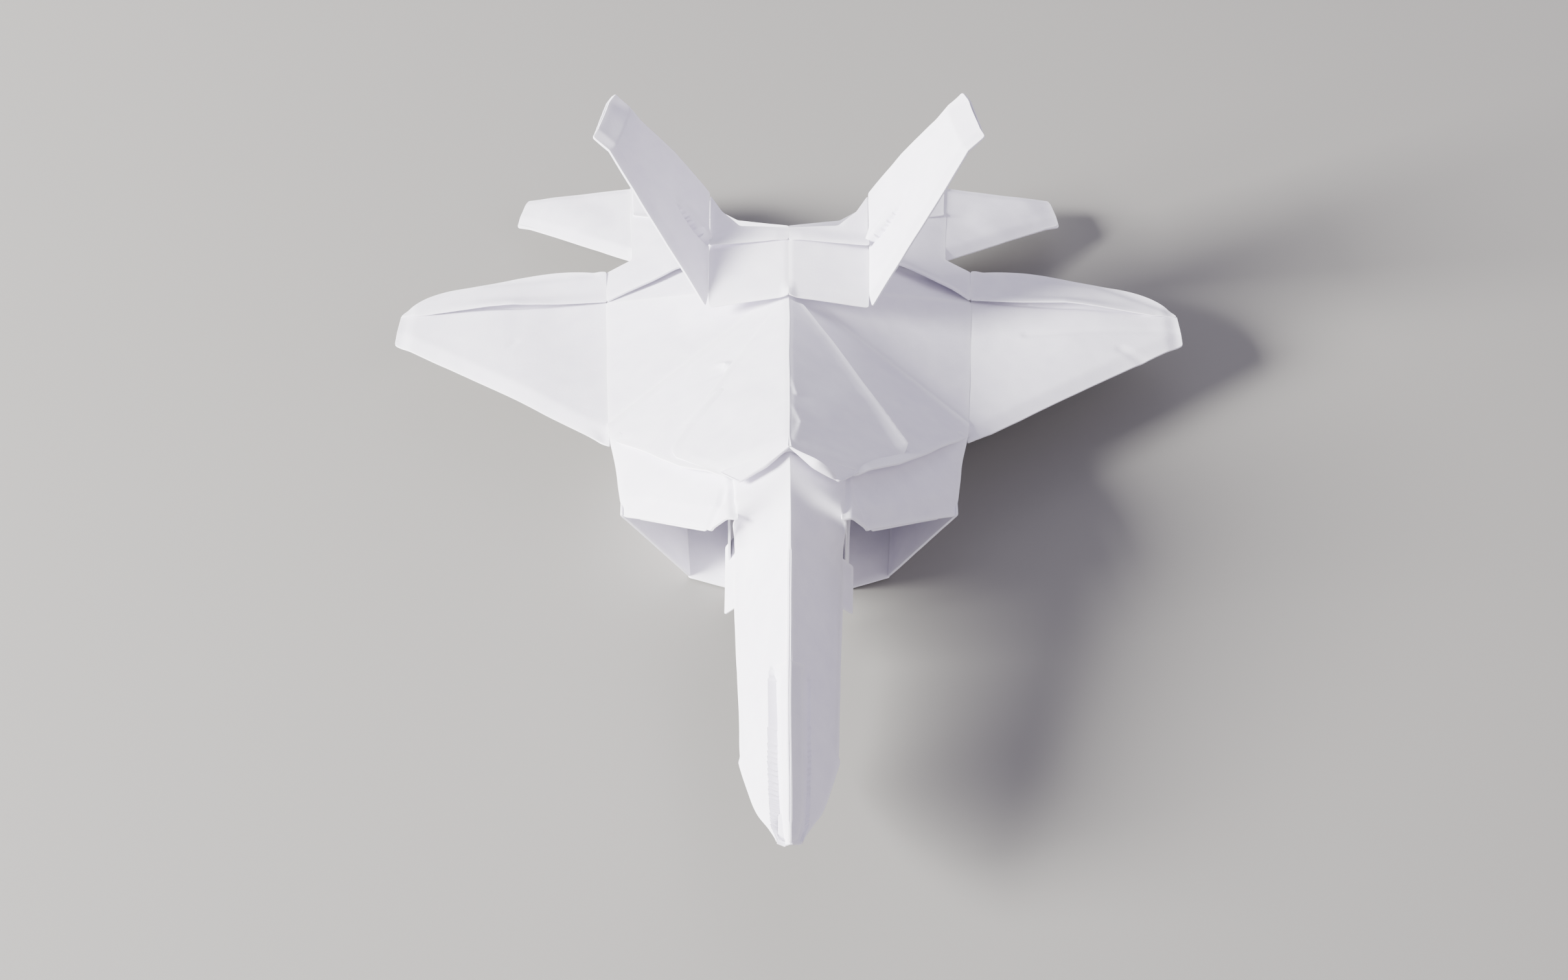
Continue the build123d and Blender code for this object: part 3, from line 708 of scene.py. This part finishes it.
def canopy_lips():
    """Front edge of the roof: it bends down over the nose and its free edge curls up."""
    curl = {"left": 0.8, "right": 0.12}  # radius of the curled edge
    columns, rows = 30, 16
    straight = 0.6  # share of the rows in front of the curl
    full_turn = radians(165)
    full_length = 2.0  # where the lip is shorter than this, its curl is smaller
    curl_end = 0.62  # share of the lip's width that is curled
    thinned = 0.7  # the lip is this share of the CAD ply's thickness
    for hand, side in SIDES.items():
        lip, normal, thickness = outer_face(f"canopy_lip_{hand}", UPWARD)
        order = np.argsort(np.abs(lip[:, 0]))
        top, bend, point, corner = lip[order]
        free = np.array([top, bend, point, corner])
        steps = np.r_[0, np.cumsum(np.linalg.norm(np.diff(free, axis=0), axis=1))]
        at = np.linspace(0, steps[-1], columns)
        free = np.stack([np.interp(at, steps, free[:, k]) for k in range(3)], axis=1)
        share = np.linspace(0, 1, columns)[:, None]
        fixed = top + (corner - top) * share
        place = []
        for row in range(rows):
            t = row / (rows - 1)
            if t < straight:
                place.append(fixed + (free - fixed) * (t / straight))
                continue
            turn = full_turn * (t - straight) / (1 - straight)
            forward = free - fixed
            length = np.maximum(np.linalg.norm(forward, axis=1, keepdims=True), 1e-6)
            forward = forward / length
            rolled = np.sin(np.pi * np.clip(share / curl_end, 0.03, 1.0)) ** 0.6
            radius = curl[hand] * np.minimum(1, length / full_length) * rolled
            place.append(free + forward * radius * sin(turn) + normal * radius * (1 - cos(turn)))
        place = hand_folded(np.vstack(place))
        faces = []
        for row in range(rows - 1):
            for column in range(columns - 1):
                a = row * columns + column
                face = [a, a + columns, a + columns + 1, a + 1]
                faces.append(face if side > 0 else face[::-1])
        # The curled lip gets none of the painted edge highlight.
        no_highlight = np.full(len(place), 2 * EDGE_HIGHLIGHT_WIDTH)
        piece = two_sided(f"canopy_lip_{hand}_paper", place, faces, thickness * thinned, no_highlight)
        place_piece(piece, "fuselage", f"canopy_lip_{hand}")


flat_plies()
nose_skins()
fin_skins()
canopy_lips()


# ------------------------------------------------------------------ floor, light and camera
def floor():
    """Plain pale floor under the airplane."""
    half, drop = 8.0, 0.0003  # metres; the floor lies just below the belly
    material = bpy.data.materials.new("floor")
    material.use_nodes = True
    shader = material.node_tree.nodes["Principled BSDF"]
    shader.inputs["Base Color"].default_value = (0.235, 0.23, 0.215, 1)
    shader.inputs["Roughness"].default_value = 0.7
    mesh = bpy.data.meshes.new("floor")
    corners = [(-half, -half, 0), (half, -half, 0), (half, half, 0), (-half, half, 0)]
    mesh.from_pydata(corners, [], [(0, 1, 2, 3)])
    mesh.materials.append(material)
    obj = bpy.data.objects.new("floor", mesh)
    bpy.context.collection.objects.link(obj)
    obj.location.z = -drop


def area_light(name, place, size, power, colour):
    """Square studio lamp that looks at the airplane; place and size in metres, power in watts."""
    data = bpy.data.lights.new(name, "AREA")
    data.size = size
    data.energy = power
    data.color = colour
    lamp = bpy.data.objects.new(name, data)
    bpy.context.collection.objects.link(lamp)
    lamp.location = place
    lamp.rotation_euler = (Vector() - Vector(place)).to_track_quat("-Z", "Y").to_euler()


def camera():
    """Camera at the photograph's angle: 48 degrees above the table, ahead of the nose."""
    elevation = radians(48)
    distance = 0.4295  # metres from the point that it looks at
    target_x, target_y = -0.0008, 0.009
    data = bpy.data.cameras.new("camera")
    data.sensor_width = 36
    data.lens = 59.5
    data.clip_start = 0.01
    obj = bpy.data.objects.new("camera", data)
    bpy.context.collection.objects.link(obj)
    obj.location = (target_x, target_y - distance * cos(elevation), distance * sin(elevation))
    obj.rotation_euler = (radians(90) - elevation, 0, 0)
    bpy.context.scene.camera = obj


def studio_world():
    """Even, slightly violet light from all around, which fills the shaded panels."""
    world = bpy.data.worlds.new("studio")
    world.use_nodes = True
    background = world.node_tree.nodes["Background"]
    background.inputs["Color"].default_value = (0.78, 0.75, 1.0, 1)
    background.inputs["Strength"].default_value = 0.6
    bpy.context.scene.world = world


floor()
area_light("key", (-1.05, -0.25, 0.52), 0.4, 96.0, (1.0, 0.985, 0.965))
area_light("fill", (0.9, -0.6, 0.8), 1.2, 7.0, (1.0, 0.91, 0.90))
area_light("back", (0.0, 1.2, 0.9), 1.0, 5.0, (0.97, 0.95, 1.0))
studio_world()
camera()
